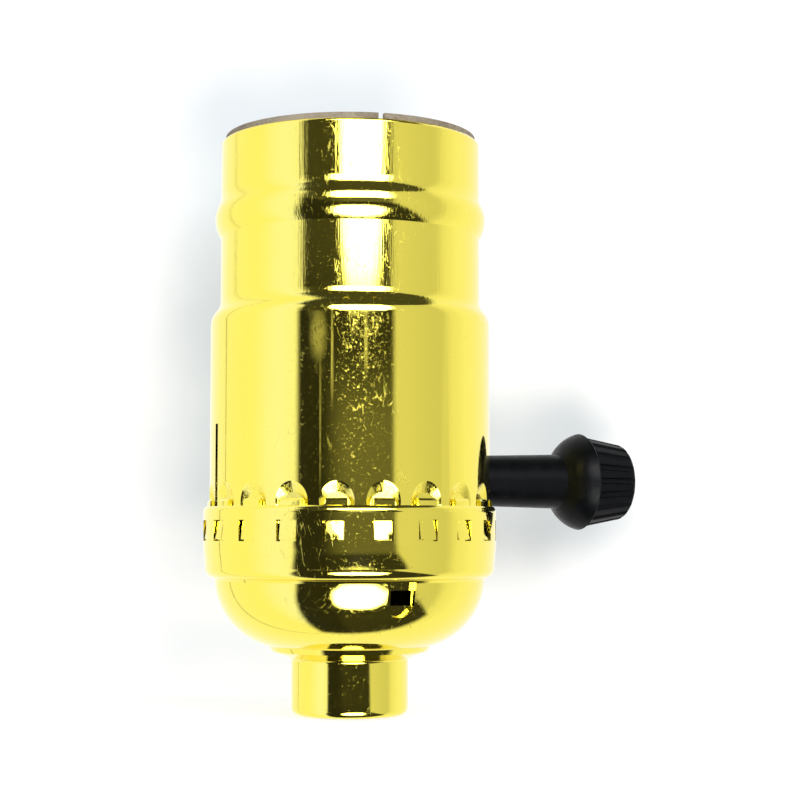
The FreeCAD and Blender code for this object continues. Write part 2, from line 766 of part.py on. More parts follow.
def shell_catch(body):
    """The flat part of a tooth that springs out into the cap's window, furthest at its foot."""
    sketch = new_sketch(body, "XZ_Plane", turn=TOOTH_PLACE)
    low, high = f"{WINDOW_LOW} + catch_gap", f"{WINDOW_TOP} - catch_gap"
    back = f"{SHELL_RADIUS} - shell_sheet / 2"
    corners = [(back, low), (f"{SHELL_RADIUS} + catch_rise", low), (TOOTH_FACE, high), (back, high)]
    outline(sketch, corners)
    return pad(body, sketch, "catch_width", both=True)


def make_insulating_sleeve():
    """Rolled board tube with an open seam and a notch for the knob's shank."""
    body = new_body("insulating_sleeve")
    ring = new_sketch(body, "XY_Plane", SLEEVE_LOW)
    circle(ring, SLEEVE_OUT)
    circle(ring, SLEEVE_IN)
    pad(body, ring, f"{SHELL_TOP} + sleeve_above - {SLEEVE_LOW}")
    seam = new_sketch(body, "XZ_Plane", turn="sleeve_seam_turn")
    top = f"{SHELL_TOP} + sleeve_above + 1"
    low = f"{SLEEVE_LOW} - 1"
    rectangle(seam, "-sleeve_seam / 2", low, "sleeve_seam / 2", top)
    pocket(body, seam, reverse=True)
    notch = new_sketch(body, "YZ_Plane")
    tongue(notch, f"{SHANK_NOTCH} + 2 * sleeve_notch_gap", low, KNOB_AXIS, up=True)
    pocket(body, notch, reverse=True)
    return node(body, "insulating_sleeve")


# ------------------------------------------------------------------------------------ interior
def rolled_wall(radius, low, high):
    """The rolled thread's form, filled: level circles whose centres climb a helix.

    The helix shrinks onto the axis at both ends, where the roller ran out.
    """
    pitch, wave, fade = value("thread_pitch"), value("thread_wave"), value("thread_fade")
    start, stop = value(BODY_TOP) + value("screw_sheet"), value(SCREW_TOP)
    rows_per_turn = 8
    rows = math.ceil((high - low) / pitch * rows_per_turn)
    rings = []
    for row in range(rows + 1):
        height = low + (high - low) * row / rows
        rise = min(max((height - start - fade / 3) / fade, 0), 1)
        fall = min(max((stop - fade / 3 - height) / fade, 0), 1)
        reach = wave * (3 * rise**2 - 2 * rise**3) * (3 * fall**2 - 2 * fall**3)
        angle = 2 * math.pi * height / pitch
        centre = Vector(reach * math.cos(angle), reach * math.sin(angle), height)
        rings.append(Part.Wire([Part.makeCircle(radius, centre)]))
    return Part.makeLoft(rings, True, True)


def make_screw_shell():
    """Rolled lamp thread on a drawn cup whose floor is a ring that the body rivets hold down."""
    low, high = value(BODY_TOP), value(SCREW_TOP)
    sheet_wall, inner = value("screw_sheet"), value("thread_radius")
    cup = rolled_wall(inner + sheet_wall, low, high)
    cup = cup.cut(rolled_wall(inner, low + sheet_wall, high))
    cup = cup.cut(Part.makeCylinder(value("screw_hole"), 3, Vector(0, 0, low - 1)))
    for side in (1, -1):
        place = Vector(side * value(RIVET_X), side * value(RIVET_Y), low - 1)
        cup = cup.cut(Part.makeCylinder(value("rivet_radius + rivet_gap"), 3, place))
    feature = doc.addObject("Part::Feature", "rolled_screw_shell")
    feature.Shape = cup
    return node(feature, "screw_shell")


def body_rivet_holes(body, shift, radius, length=None):
    """The two through holes of the body rivets, or their counterbores."""
    sketch = new_sketch(body, "XY_Plane", shift)
    circle(sketch, radius, RIVET_X, RIVET_Y)
    circle(sketch, radius, f"-{RIVET_X}", f"-{RIVET_Y}")
    return pocket(body, sketch, length, reverse=True)


def make_socket_body_upper():
    """Moulded disc that carries the screw shell, with a well for the centre contact."""
    body = new_body("socket_body_upper")
    pad(body, circle(new_sketch(body, "XY_Plane", BODY_SPLIT), BODY_RADIUS), "upper_height")
    pocket(body, circle(new_sketch(body, "XY_Plane", BODY_TOP), "well_radius"), "well_depth")
    body_rivet_holes(body, f"{BODY_SPLIT} - 1", "rivet_radius + rivet_gap")
    rivet = new_sketch(body, "XY_Plane", f"{BODY_SPLIT} - 1")
    circle(rivet, "centre_rivet_radius + rivet_gap", "-centre_rivet_offset")
    pocket(body, rivet, reverse=True)
    chamfer(body, "mould_chamfer", ring_edge(BODY_RADIUS, BODY_TOP))
    return node(body, "socket_body_upper")


def make_socket_body_lower():
    """Moulded block with the switch cavity above and the wiring space below."""
    body = new_body("socket_body_lower")
    block = circle(new_sketch(body, "XY_Plane", BODY_LOW), BODY_RADIUS)
    pad(body, block, f"{BODY_SPLIT} - {BODY_LOW}")
    chamfer(body, "mould_chamfer", ring_edge(BODY_RADIUS, BODY_LOW))
    cavity = new_sketch(body, "XY_Plane", BODY_SPLIT)
    rectangle(cavity, f"-{CAVITY_LENGTH}", f"-{CAVITY_WIDTH}", CAVITY_LENGTH, CAVITY_WIDTH)
    pocket(body, cavity, f"{BODY_SPLIT} - {CAVITY_FLOOR}")
    for side in (1, -1):
        flat = new_sketch(body, "XY_Plane", f"{BODY_LOW} - 1")
        near, far = FLAT, f"{FLAT} * 2"
        low_y, high_y = (near, far) if side > 0 else (f"-{far}", f"-{near}")
        rectangle(flat, "-flat_half_width", low_y, "flat_half_width", high_y)
        pocket(body, flat, reverse=True)
    recess = circle(new_sketch(body, "XY_Plane", f"{BODY_LOW} - 1"), "wiring_radius")
    pocket(body, recess, "wiring_depth + 1", reverse=True)
    channel = new_sketch(body, "XY_Plane", f"{BODY_LOW} - 1")
    half = "wiring_slot / 2"
    rectangle(channel, f"-{half}", f"-{FLAT} - 1", half, f"{FLAT} + 1")
    pocket(body, channel, "wiring_depth + 1", reverse=True)
    body_rivet_holes(body, f"{BODY_LOW} - 1", "rivet_radius + rivet_gap")
    body_rivet_holes(body, f"{BODY_LOW} - 1", "rivet_head + rivet_gap", "rivet_sink + 1")
    screw_holes(body)
    spindle_bearings(body)
    strip_recesses(body)
    return node(body, "socket_body_lower")


def screw_holes(body):
    """Blind holes under the two binding screws."""
    depth = "screw_length + 0.3"
    for shift, reverse in ((f"{FLAT} + 0.5", False), (f"-{FLAT} - 0.5", True)):
        hole = new_sketch(body, "XZ_Plane", shift)
        circle(hole, "screw_radius + 0.2", "0", SCREW_AXIS)
        pocket(body, hole, f"{depth} + 0.5", reverse=reverse)


def spindle_bearings(body):
    """The bushing's stepped seat on the knob's side and the blind hole for the spindle's tail."""
    seat = new_sketch(body, "YZ_Plane", f"{CAVITY_LENGTH} - 1")
    circle(seat, f"{BEARING_RADIUS} + spindle_gap", "0", KNOB_AXIS)
    pocket(body, seat, reverse=True)
    step = new_sketch(body, "YZ_Plane", f"{BODY_RADIUS} - bearing_flange_width")
    circle(step, f"{BEARING_FLANGE} + 2 * spindle_gap", "0", KNOB_AXIS)
    pocket(body, step, reverse=True)
    tail = new_sketch(body, "YZ_Plane", f"-{CAVITY_LENGTH} + 1")
    circle(tail, "spindle_tail + spindle_gap", "0", KNOB_AXIS)
    pocket(body, tail, "spindle_blind + 1.3")


def strip_recesses(body):
    """Seats in the block's top face for the neutral ear, the hot strip and the link to the lamp's tip."""
    ear = new_sketch(body, "XY_Plane", BODY_SPLIT)
    gap = "2 * strip_gap"
    rectangle(
        ear, f"-ear_reach - {gap}", f"-{PLATE_IN} - {gap}", f"plate_half_width + {gap}", f"-{EAR_IN} + {gap}"
    )
    pocket(body, ear, f"strip_sheet + {gap}")
    bridge = new_sketch(body, "XY_Plane", BODY_SPLIT)
    rectangle(
        bridge, f"-{BLADE_FAR} - {gap}", f"{CAVITY_WIDTH} - 1", f"-{BLADE_NEAR} + {gap}", f"{FLAT} + 1"
    )
    pocket(body, bridge, f"2.5 * strip_sheet + {gap}")


def make_rivet(name, radius, head, head_height, low, high, x, y):
    """A rivet with a flat lower head and a domed upper head; low and high are its two seats."""
    body = new_body(name)
    dome = f"(({head})^2 + ({head_height})^2) / (2 * ({head_height}))"
    corners = [
        ("0", f"{low} - {head_height}"),
        (head, f"{low} - {head_height}"),
        (head, low),
        (radius, low),
        (radius, high),
        (head, high, dome, "right"),
        ("0", f"{high} + {head_height}"),
    ]
    revolve(body, outline(new_sketch(body, "XZ_Plane"), corners))
    bind(body, "Placement.Base.x", x)
    bind(body, "Placement.Base.y", y)
    return node(body, name)


def make_rivets():
    for name, sign in (("body_rivet_hot", ""), ("body_rivet_neutral", "-")):
        make_rivet(
            name, "rivet_radius", "rivet_head", "rivet_head_height",
            f"{BODY_LOW} + rivet_sink", f"{BODY_TOP} + screw_sheet",
            f"{sign}{RIVET_X}", f"{sign}{RIVET_Y}",
        )
    make_rivet(
        "centre_rivet", "centre_rivet_radius", "centre_rivet_head", "centre_rivet_head_height",
        STRIP_LEVEL, f"{WELL_FLOOR} + leaf_sheet", "-centre_rivet_offset", "0",
    )


def make_centre_contact():
    """Leaf that springs up from its riveted foot to meet the lamp's tip."""
    body = new_body("centre_contact")
    profile = new_sketch(body, "XZ_Plane")
    floor, thick, crown = WELL_FLOOR, "leaf_sheet", f"({WELL_FLOOR} + leaf_crown)"
    foot = "(centre_rivet_offset + 2.4)"
    corners = [
        (f"-{foot}", floor),
        ("-2.5", floor),
        ("-0.75", f"{crown} - 2.1 * {thick}", "1.6", "left"),
        ("0.9", f"{crown} - 2 * {thick}"),
        ("3.4", f"{crown} - 5 * {thick}"),
        ("3.6", f"{crown} - 4 * {thick}"),
        ("1.1", f"{crown} - 0.9 * {thick}", "2", "right"),
        ("-1.1", f"{crown} - {thick}"),
        ("-2.75", f"{floor} + {thick}"),
        (f"-{foot}", f"{floor} + {thick}"),
    ]
    outline(profile, corners)
    pad(body, profile, "2 * leaf_half_width", both=True)
    hole = new_sketch(body, "XY_Plane", f"{floor} - 1")
    circle(hole, "centre_rivet_radius + rivet_gap", "-centre_rivet_offset")
    pocket(body, hole, "2", reverse=True)
    return node(body, "centre_contact")


def hook(out, level, reach, tip):
    """The side view of a strip that climbs, turns inwards under a level and may hang a tip.

    out, level and reach are its outer faces, on the holder's +Y side.
    """
    thick, bend = "strip_sheet", "strip_bend"
    low = f"{BODY_LOW} + plate_foot + plate_height - 1"
    outer_bend = f"({bend} + {thick})"
    corners = [
        (f"{out} - {thick}", low),
        (out, low),
        (out, f"{level} - {outer_bend}", outer_bend, "right"),
        (f"{out} - {outer_bend}", level),
    ]
    if tip:
        corners += [
            (f"{reach} + {outer_bend}", level, outer_bend, "right"),
            (reach, f"{level} - {outer_bend}"),
            (reach, tip),
            (f"{reach} + {thick}", tip),
            (f"{reach} + {thick}", f"{level} - {outer_bend}", bend, "left"),
            (f"{reach} + {outer_bend}", f"{level} - {thick}"),
        ]
    else:
        corners += [(reach, level), (reach, f"{level} - {thick}")]
    corners += [
        (f"{out} - {outer_bend}", f"{level} - {thick}", bend, "left"),
        (f"{out} - {thick}", f"{level} - {outer_bend}"),
    ]
    return corners


def terminal_plate(body, side):
    """The flat plate under a binding screw, tapped for it."""
    plate = new_sketch(body, "XZ_Plane", f"{'-' if side > 0 else ''}{PLATE_IN}")
    low = f"{BODY_LOW} + plate_foot"
    rectangle(plate, f"-{BLADE_FAR}", low, "plate_half_width", f"{low} + plate_height")
    circle(plate, "screw_radius + screw_gap", "0", SCREW_AXIS)
    return pad(body, plate, "strip_sheet", reverse=side > 0)


def make_hot_terminal():
    """Plate, riser and the fixed blade that reaches down into the switch cavity."""
    body = new_body("hot_terminal")
    terminal_plate(body, 1)
    side = new_sketch(body, "YZ_Plane", f"-{BLADE_FAR}")
    level = f"({STRIP_LEVEL} - 2 * strip_gap - 0.1)"
    outline(side, hook(PLATE_OUT, level, BLADE_OFFSET, f"{KNOB_AXIS} - blade_low"))
    pad(body, side, "blade_width")
    return node(body, "hot_terminal")


def make_neutral_terminal():
    """Plate and riser whose ear lies under the upper body, round one body rivet."""
    body = new_body("neutral_terminal")
    terminal_plate(body, -1)
    side = new_sketch(body, "YZ_Plane", "-plate_half_width")
    outline(side, mirrored(hook(PLATE_OUT, BODY_SPLIT, EAR_IN, None)))
    pad(body, side, "2 * plate_half_width")
    ear = new_sketch(body, "XY_Plane", STRIP_LEVEL)
    rectangle(ear, "-ear_reach", f"-{PLATE_IN}", "-plate_half_width + 1", f"-{EAR_IN}")
    pad(body, ear, "strip_sheet")
    hole = new_sketch(body, "XY_Plane", f"{STRIP_LEVEL} - 1")
    circle(hole, "rivet_radius + rivet_gap", f"-{RIVET_X}", f"-{RIVET_Y}")
    pocket(body, hole, reverse=True)
    return node(body, "neutral_terminal")


def mirrored(corners):
    """The outline's other hand, about the sketch's Y axis."""
    flipped = {"left": "right", "right": "left"}
    result = []
    for corner in corners:
        turned = (f"-({corner[0]})", corner[1])
        if len(corner) == 4:
            turned += (corner[2], flipped[corner[3]])
        result.append(turned)
    return result


def make_contact_link():
    """Strip from the centre rivet to the fixed blade on the neutral side of the switch cavity."""
    body = new_body("contact_link")
    side = new_sketch(body, "YZ_Plane", f"-{BLADE_FAR}")
    thick, bend, level = "strip_sheet", "strip_bend", BODY_SPLIT
    outer_bend = f"({bend} + {thick})"
    out = f"({BLADE_OFFSET} + {thick})"
    tip = f"{KNOB_AXIS} - blade_low"
    reach = "(centre_rivet_head + 0.3)"
    corners = [
        (f"-{out}", tip),
        (f"-{BLADE_OFFSET}", tip),
        (f"-{BLADE_OFFSET}", f"{level} - {outer_bend}", bend, "left"),
        (f"-{out} + {outer_bend}", f"{level} - {thick}"),
        (reach, f"{level} - {thick}"),
        (reach, level),
        (f"-{out} + {outer_bend}", level, outer_bend, "left"),
        (f"-{out}", f"{level} - {outer_bend}"),
    ]
    outline(side, corners)
    pad(body, side, "blade_width")
    pan = new_sketch(body, "XY_Plane", STRIP_LEVEL)
    far = "(centre_rivet_offset + centre_rivet_head + 0.3)"
    rectangle(pan, f"-{far}", f"-{reach}", f"-{BLADE_NEAR}", reach)
    pad(body, pan, thick)
    hole = new_sketch(body, "XY_Plane", f"{STRIP_LEVEL} - 1")
    circle(hole, "centre_rivet_radius + rivet_gap", "-centre_rivet_offset")
    pocket(body, hole, reverse=True)
    return node(body, "contact_link")


def make_binding_screws():
    """Slotted binding screws in the two terminal plates."""
    for name, sign in (("hot_screw", 1), ("neutral_screw", -1)):
        body = new_body(name)
        tip = f"{FLAT} - screw_length"
        head = f"{PLATE_OUT} + screw_head_height"
        corners = [
            ("0", tip),
            ("screw_radius - 0.4", tip),
            ("screw_radius", f"{tip} + 0.4"),
            ("screw_radius", PLATE_OUT),
            ("screw_head", PLATE_OUT),
            ("screw_head", f"{head} - 0.5"),
            ("screw_head - 0.5", head),
            ("0", head),
        ]
        revolve(body, outline(new_sketch(body, "XZ_Plane"), corners))
        slot = new_sketch(body, "XZ_Plane")
        half = "screw_slot_width / 2"
        rectangle(slot, f"-{half}", f"{head} - screw_slot_depth", half, f"{head} + 1")
        pocket(body, slot, "2 * screw_head + 2", both=True)
        body.Placement = Placement(Vector(), Rotation(Vector(1, 0, 0), -90 * sign))
        bind(body, "Placement.Base.z", SCREW_AXIS)
        node(body, name)


# ---------------------------------------------------------------------------- switch and knob
def new_turning_body(name):
    """A body whose own X axis is the spindle's."""
    body = new_body(name)
    bind(body, "Placement.Base.z", KNOB_AXIS)
    return body


def make_switch_spindle():
    """Steel spindle: tail journal, square for the rotor, collar, journal and threaded end."""
    body = new_turning_body("switch_spindle")
    tail = f"-{CAVITY_LENGTH} - spindle_blind"
    end = f"{RIDGE} + crown_length - knob_bore_end - 0.5"
    corners = [
        (tail, "0"),
        (end, "0"),
        (end, "spindle_thread"),
        (f"{KNOB_START} - 0.3", "spindle_thread"),
        (f"{KNOB_START} - 0.3", "spindle_radius"),
        ("cam_end + collar_width", "spindle_radius"),
        ("cam_end + collar_width", "spindle_radius + collar_step"),
        ("cam_end", "spindle_radius + collar_step"),
        ("cam_end", "spindle_tail"),
        (tail, "spindle_tail"),
    ]
    revolve(body, outline(new_sketch(body, "XZ_Plane"), corners), "H_Axis")
    square = new_sketch(body, "YZ_Plane", ARM_START)
    half = f"{SPINDLE_SQUARE} / 2"
    rectangle(square, f"-{half}", f"-{half}", half, half)
    pad(body, square, f"cam_end - {ARM_START}")
    return node(body, "switch_spindle")


def make_switch_rotor():
    """Moulded rotor: a four-sided cam for the detent spring and a drum that carries the contact."""
    body = new_turning_body("switch_rotor")
    side, corner = "cam_side / 2", "cam_round"
    flat = f"({side} - {corner})"
    cam = new_sketch(body, "YZ_Plane", CAM_START)
    corners = [
        (flat, f"-{side}", corner, "right"),
        (side, f"-{flat}"),
        (side, flat, corner, "right"),
        (flat, side),
        (f"-{flat}", side, corner, "right"),
        (f"-{side}", flat),
        (f"-{side}", f"-{flat}", corner, "right"),
        (f"-{flat}", f"-{side}"),
    ]
    pad(body, outline(cam, corners), "cam_length")
    drum = circle(new_sketch(body, "YZ_Plane", DRUM_START), "drum_radius")
    pad(body, drum, "drum_length")
    bore = new_sketch(body, "YZ_Plane", f"{DRUM_START} - 1")
    half = f"({SPINDLE_SQUARE} / 2 + spindle_gap)"
    rectangle(bore, f"-{half}", f"-{half}", half, half)
    pocket(body, bore, reverse=True)
    return node(body, "switch_rotor")


def make_rotor_contact():
    """Stamped plate with two arms that bridge the fixed blades every half turn."""
    body = new_turning_body("rotor_contact")
    hub = circle(new_sketch(body, "YZ_Plane", ARM_START), "hub_radius")
    pad(body, hub, "arm_sheet")
    arms = new_sketch(body, "YZ_Plane", ARM_START)
    half = "arm_width / 2"
    side = f"{ARM_REACH} - 0.4"
    corners = [
        (f"-{half}", f"-({side})"),
        (f"-{half} + 0.4", f"-{ARM_REACH}"),
        (f"{half} - 0.4", f"-{ARM_REACH}"),
        (half, f"-({side})"),
        (half, side),
        (f"{half} - 0.4", ARM_REACH),
        (f"-{half} + 0.4", ARM_REACH),
        (f"-{half}", side),
    ]
    pad(body, outline(arms, corners), "arm_sheet")
    bore = new_sketch(body, "YZ_Plane", f"{ARM_START} - 1")
    square = f"({SPINDLE_SQUARE} / 2 + spindle_gap)"
    rectangle(bore, f"-{square}", f"-{square}", square, square)
    pocket(body, bore, reverse=True)
    return node(body, "rotor_contact")


def make_rotor_retainer():
    """Push-on ring that holds the contact plate against the rotor."""
    body = new_turning_body("rotor_retainer")
    ring = new_sketch(body, "YZ_Plane", f"{ARM_START} - retainer_width")
    circle(ring, "retainer_radius")
    circle(ring, "spindle_tail + spindle_gap")
    pad(body, ring, "retainer_width")
    return node(body, "rotor_retainer")


def make_spindle_bushing():
    """Flanged bearing for the spindle in the wall of the lower body."""
    body = new_turning_body("spindle_bushing")
    inner = CAVITY_LENGTH
    step = f"{BODY_RADIUS} - bearing_flange_width"
    bore = "spindle_radius + spindle_gap"
    corners = [
        (inner, bore),
        (BODY_RADIUS, bore),
        (BODY_RADIUS, BEARING_FLANGE),
        (step, BEARING_FLANGE),
        (step, BEARING_RADIUS),
        (inner, BEARING_RADIUS),
    ]
    revolve(body, outline(new_sketch(body, "XZ_Plane"), corners), "H_Axis")
    return node(body, "spindle_bushing")


def make_detent_spring():
    """U-shaped leaf whose two arms hold the cam's flats, so the knob stops each quarter turn."""
    body = new_turning_body("detent_spring")
    thick = "spring_sheet"
    inner = "(cam_side / 2 + spring_gap)"
    outer = f"({inner} + {thick})"
    bend = "1.0"
    low = f"({CAVITY_FLOOR} - {KNOB_AXIS} + spring_foot_gap)"
    straight = "(cam_side / 2 - 0.6)"
    top = f"({straight} + 1.6)"
    spread = "spring_flare"
    right_side = [
        (f"{outer} - {bend} - {thick}", low, f"{bend} + {thick}", "right"),
        (outer, f"{low} + {bend} + {thick}"),
        (outer, straight),
        (f"{outer} + {spread}", top),
        (f"{inner} + {spread}", top),
        (inner, straight),
        (inner, f"{low} + {bend} + {thick}", bend, "left"),
        (f"{inner} - {bend}", f"{low} + {thick}"),
    ]
    left_side = []
    for index, corner in enumerate(reversed(right_side)):
        left_side.append((f"-({corner[0]})", corner[1]))
    left_side[0] += (bend, "left")
    left_side[6] += (f"{bend} + {thick}", "right")
    profile = new_sketch(body, "YZ_Plane", f"{CAM_START} + (cam_length - spring_width) / 2")
    outline(profile, right_side + left_side)
    pad(body, profile, "spring_width")
    return node(body, "detent_spring")


def make_knob():
    """Moulded knob: round shank, domed back to a sharp ridge, ribbed tapering crown."""
    body = new_turning_body("knob")
    wide_end = "shank_radius + shank_growth"
    back_arc = f"((head_radius - {wide_end})^2 + head_back^2) / (2 * (head_radius - {wide_end}))"
    small_end = "(crown_radius - crown_draft)"
    bore, bore_end = "spindle_thread + spindle_gap", f"{KNOB_END} - knob_bore_end"
    corners = [
        (KNOB_START, bore),
        (KNOB_START, "shank_radius"),
        (SHANK_END, wide_end),
        (f"{SHANK_END} + 0.4", f"{wide_end} + 0.5", f"{back_arc} + 1.5", "left"),
        (RIDGE, "head_radius"),
        (f"{RIDGE} + 0.35", "crown_radius"),
        (f"{KNOB_END} - crown_round", small_end, "crown_round", "left"),
        (KNOB_END, f"{small_end} - crown_round"),
        (KNOB_END, "0"),
        (bore_end, "0"),
        (bore_end, bore),
    ]
    revolve(body, outline(new_sketch(body, "XZ_Plane"), corners), "H_Axis")
    groove = new_sketch(body, "YZ_Plane", f"{KNOB_END} + 0.5")
    lean = "crown_draft / (crown_length - crown_round)"
    circle(groove, "rib_groove", "0", f"{small_end} + 0.12 - {lean} * (0.5 + crown_round)")
    cut = body.newObject("PartDesign::Pocket", "rib_groove")
    cut.Profile = groove
    cut.UseCustomVector = True
    slope = value(lean)
    cut.Direction = Vector(-1, 0, slope)
    bind(cut, "Length", "crown_length + 0.1")
    repeat(body, [cut], "rib_count", "X_Axis")
    return node(body, "knob")


# ------------------------------------------------------------------------------ build and export
make_cap()
make_neck_bushing()
make_cap_liner()
make_outer_shell()
make_insulating_sleeve()
make_screw_shell()
make_socket_body_upper()
make_socket_body_lower()
make_rivets()
make_centre_contact()
make_contact_link()
make_hot_terminal()
make_neutral_terminal()
make_binding_screws()
make_switch_spindle()
make_switch_rotor()
make_rotor_contact()
make_rotor_retainer()
make_spindle_bushing()
make_detent_spring()
make_knob()
doc.recompute()

for item in doc.Objects:
    if "Invalid" in item.State or "Error" in item.State:
        raise ValueError(f"{item.Name} of {item.Label} failed: {item.State}")
for item in nodes:
    if item.Shape.isNull() or not item.Shape.isValid() or not item.Shape.Solids:
        raise ValueError(f"{item.Label} has no sound solid")

os.makedirs("parts", exist_ok=True)
for item in nodes:
    item.Shape.exportStep(f"parts/{item.Label}.step")
    print(f"{item.Label}: {len(item.Shape.Solids)} solid, {item.Shape.Volume:.1f} mm3")
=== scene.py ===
"""Looks of the brass lamp holder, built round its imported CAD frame."""

import math

import bmesh
import bpy
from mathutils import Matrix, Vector


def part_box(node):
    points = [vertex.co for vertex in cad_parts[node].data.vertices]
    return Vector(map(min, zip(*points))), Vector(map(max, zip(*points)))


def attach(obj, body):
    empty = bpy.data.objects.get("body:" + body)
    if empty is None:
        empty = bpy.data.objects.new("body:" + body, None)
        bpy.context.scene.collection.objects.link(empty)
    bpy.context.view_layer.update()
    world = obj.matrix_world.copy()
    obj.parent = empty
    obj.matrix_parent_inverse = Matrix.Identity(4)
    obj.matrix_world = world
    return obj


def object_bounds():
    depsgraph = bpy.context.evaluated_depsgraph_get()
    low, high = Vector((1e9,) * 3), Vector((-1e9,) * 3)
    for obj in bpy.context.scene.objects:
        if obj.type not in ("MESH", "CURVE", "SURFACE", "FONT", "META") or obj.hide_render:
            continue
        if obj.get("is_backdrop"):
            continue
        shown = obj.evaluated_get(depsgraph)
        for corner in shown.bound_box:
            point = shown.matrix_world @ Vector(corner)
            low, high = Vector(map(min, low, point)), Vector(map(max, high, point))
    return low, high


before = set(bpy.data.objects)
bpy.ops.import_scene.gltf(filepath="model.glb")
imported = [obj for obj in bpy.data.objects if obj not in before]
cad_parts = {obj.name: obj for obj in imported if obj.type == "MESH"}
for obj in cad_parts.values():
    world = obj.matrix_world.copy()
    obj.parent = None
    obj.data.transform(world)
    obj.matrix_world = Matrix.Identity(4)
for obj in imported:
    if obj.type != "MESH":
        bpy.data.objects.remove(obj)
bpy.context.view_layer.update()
scene = bpy.context.scene
scene.view_settings.view_transform = "Standard"

MM = 0.001
HEADING = math.radians(-22.0)  # the camera's turn round the upright axis
WINDOWS = 20
FIRST_WINDOW = math.radians(9.7)


# ------------------------------------------------------------------------------- node helpers
class Nodes:
    """Short calls for building one node tree."""

    def __init__(self, tree):
        self.tree = tree
        tree.nodes.clear()

    def add(self, kind, inputs=None, **settings):
        node = self.tree.nodes.new(kind)
        for name, setting in settings.items():
            setattr(node, name, setting)
        for name, source in (inputs or {}).items():
            self.feed(node.inputs[name], source)
        return node

    def feed(self, socket, source):
        if isinstance(source, bpy.types.NodeSocket):
            self.tree.links.new(source, socket)
        elif isinstance(source, bpy.types.Node):
            self.tree.links.new(source.outputs[0], socket)
        else:
            socket.default_value = source

    def math(self, operation, a, b=0.0, c=0.0, clamp=False):
        node = self.add("ShaderNodeMath", {0: a, 1: b, 2: c}, operation=operation, use_clamp=clamp)
        return node.outputs[0]

    def vector(self, operation, a, b=(0, 0, 0)):
        node = self.add("ShaderNodeVectorMath", {0: a, 1: b}, operation=operation)
        return node.outputs["Value" if operation == "DOT_PRODUCT" else "Vector"]

    def fade(self, source, low, high, start=0.0, end=1.0):
        """A smooth change from start to end as source goes from low to high."""
        node = self.add(
            "ShaderNodeMapRange",
            {"Value": source, "From Min": low, "From Max": high, "To Min": start, "To Max": end},
            interpolation_type="SMOOTHSTEP",
        )
        return node.outputs["Result"]

    def band(self, source, low, high, soft):
        """1 between low and high, with soft edges."""
        rise = self.fade(source, low - soft, low + soft)
        fall = self.fade(source, high - soft, high + soft, 1.0, 0.0)
        return self.math("MULTIPLY", rise, fall)

    def blend(self, factor, a, b):
        node = self.add("ShaderNodeMix", data_type="FLOAT")
        self.feed(node.inputs["Factor"], factor)
        self.feed(node.inputs[2], a)
        self.feed(node.inputs[3], b)
        return node.outputs[0]

    def mix(self, factor, a, b):
        node = self.add("ShaderNodeMix", data_type="RGBA")
        self.feed(node.inputs["Factor"], factor)
        self.feed(node.inputs[6], a)
        self.feed(node.inputs[7], b)
        return node.outputs[2]

    def noise(self, where, scale, detail=3.0, roughness=0.55, distortion=0.0):
        node = self.add(
            "ShaderNodeTexNoise",
            {"Vector": where, "Scale": scale, "Detail": detail, "Roughness": roughness,
             "Distortion": distortion},
        )
        return node.outputs["Fac"]


def colour(red, green, blue):
    return (red, green, blue, 1.0)


def new_material(name):
    """A material with its nodes, its shader and the object's own coordinates."""
    material = bpy.data.materials.new(name)
    material.use_nodes = True
    nodes = Nodes(material.node_tree)
    shader = nodes.add("ShaderNodeBsdfPrincipled")
    nodes.add("ShaderNodeOutputMaterial", {"Surface": shader})
    where = nodes.add("ShaderNodeTexCoord").outputs["Object"]
    return material, nodes, shader, where


# ------------------------------------------------------------------------------------ camera
def make_camera():
    data = bpy.data.cameras.new("camera")
    data.sensor_width = 36.0
    data.lens = 79.8
    data.clip_start = 0.005
    camera = bpy.data.objects.new("camera", data)
    distance = 213 * MM
    aside = 6.0 * MM
    pitch = math.radians(4.15)
    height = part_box("cap")[1][2] - 2.6 * MM
    away = Vector((math.sin(HEADING), -math.cos(HEADING), 0))
    right = Vector((math.cos(HEADING), math.sin(HEADING), 0))
    camera.location = away * distance + right * aside + Vector((0, 0, height))
    camera.rotation_euler = (math.radians(90) + pitch, 0, HEADING)
    scene.collection.objects.link(camera)
    scene.camera = camera


# ------------------------------------------------------------------------------- surroundings
def inside_box(nodes, turn, rise, middle, half, roundness, soft):
    """1 inside a box with rounded corners in turn and rise, fading over its soft edge."""
    across = nodes.math("DIVIDE", nodes.math("SUBTRACT", turn, middle[0]), half[0])
    upward = nodes.math("DIVIDE", nodes.math("SUBTRACT", rise, middle[1]), half[1])
    across = nodes.math("POWER", nodes.math("ABSOLUTE", across), roundness)
    upward = nodes.math("POWER", nodes.math("ABSOLUTE", upward), roundness)
    reach = nodes.math("POWER", nodes.math("ADD", across, upward), 1.0 / roundness)
    return nodes.fade(reach, 1.0 - soft, 1.0 + soft, 1.0, 0.0)


